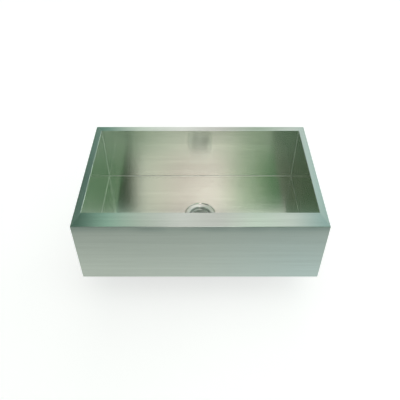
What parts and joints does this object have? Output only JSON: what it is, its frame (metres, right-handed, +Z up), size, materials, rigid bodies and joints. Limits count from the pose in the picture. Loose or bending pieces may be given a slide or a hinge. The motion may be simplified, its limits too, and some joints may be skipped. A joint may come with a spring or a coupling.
{
  "type": "apron-front kitchen sink",
  "caption": "Stainless single-bowl kitchen sink with a tall flat apron, square welded bowl, padded dry side, and a basket strainer with its outlet tube.",
  "frame": {"origin": "on the drain's axis, at the centre of the bowl's opening, in the plane of the rim's top face", "axes": "+X to the right of a person standing at the sink, +Y from the apron to the wall, +Z up out of the bowl"},
  "size_m": [0.838, 0.558, 0.4062],
  "materials": {
    "brushed_sheet": "fine straight brushing, satin to semi-mirror, with a slight green cast",
    "polished_steel": "polished stamping with fine turning marks",
    "pad_rubber": "matte moulded rubber sheet with a fine pebble",
    "gasket_rubber": "smooth black rubber",
    "seal_foam": "soft pale grey sealing ring",
    "fibre": "pressed fibre",
    "cast_zinc": "die-cast, plated, slightly rough",
    "washer_plastic": "translucent white plastic",
    "spring_bronze": "rolled spring bronze"
  },
  "bodies": {
    "sink": {"rim_apron": "brushed_sheet", "bowl_wrap": "brushed_sheet", "left_end_wall": "brushed_sheet", "right_end_wall": "brushed_sheet", "left_cheek": "brushed_sheet", "right_cheek": "brushed_sheet", "floor_pad_left": "pad_rubber", "floor_pad_right": "pad_rubber", "left_wall_pad": "pad_rubber", "right_wall_pad": "pad_rubber", "back_wall_pad": "pad_rubber", "front_wall_pad": "pad_rubber", "apron_pad": "pad_rubber", "strainer_body": "polished_steel", "outlet_stub": "polished_steel", "cross_bar": "polished_steel", "flange_seal": "seal_foam", "rubber_gasket": "gasket_rubber", "friction_washer": "fibre", "locknut": "cast_zinc", "tailpiece_washer": "washer_plastic", "tailpiece": "polished_steel", "coupling_nut": "cast_zinc"},
    "stopper_and_post": {"basket_stopper": "gasket_rubber", "basket_post": "polished_steel", "basket_nut": "polished_steel", "basket_knob": "polished_steel", "spring_sleeve": "spring_bronze"},
    "basket": {"basket_cup": "polished_steel"}
  },
  "joints": [
    {"name": "basket_lift", "type": "slide", "parent": "sink", "child": "stopper_and_post", "axis": [0, 0, 1], "range_m": [0, 0.3]},
    {"name": "basket_turn", "type": "hinge", "parent": "stopper_and_post", "child": "basket", "pos_m": [0, 0, -0.27], "axis": [0, 0, 1], "continuous": true}
  ]
}
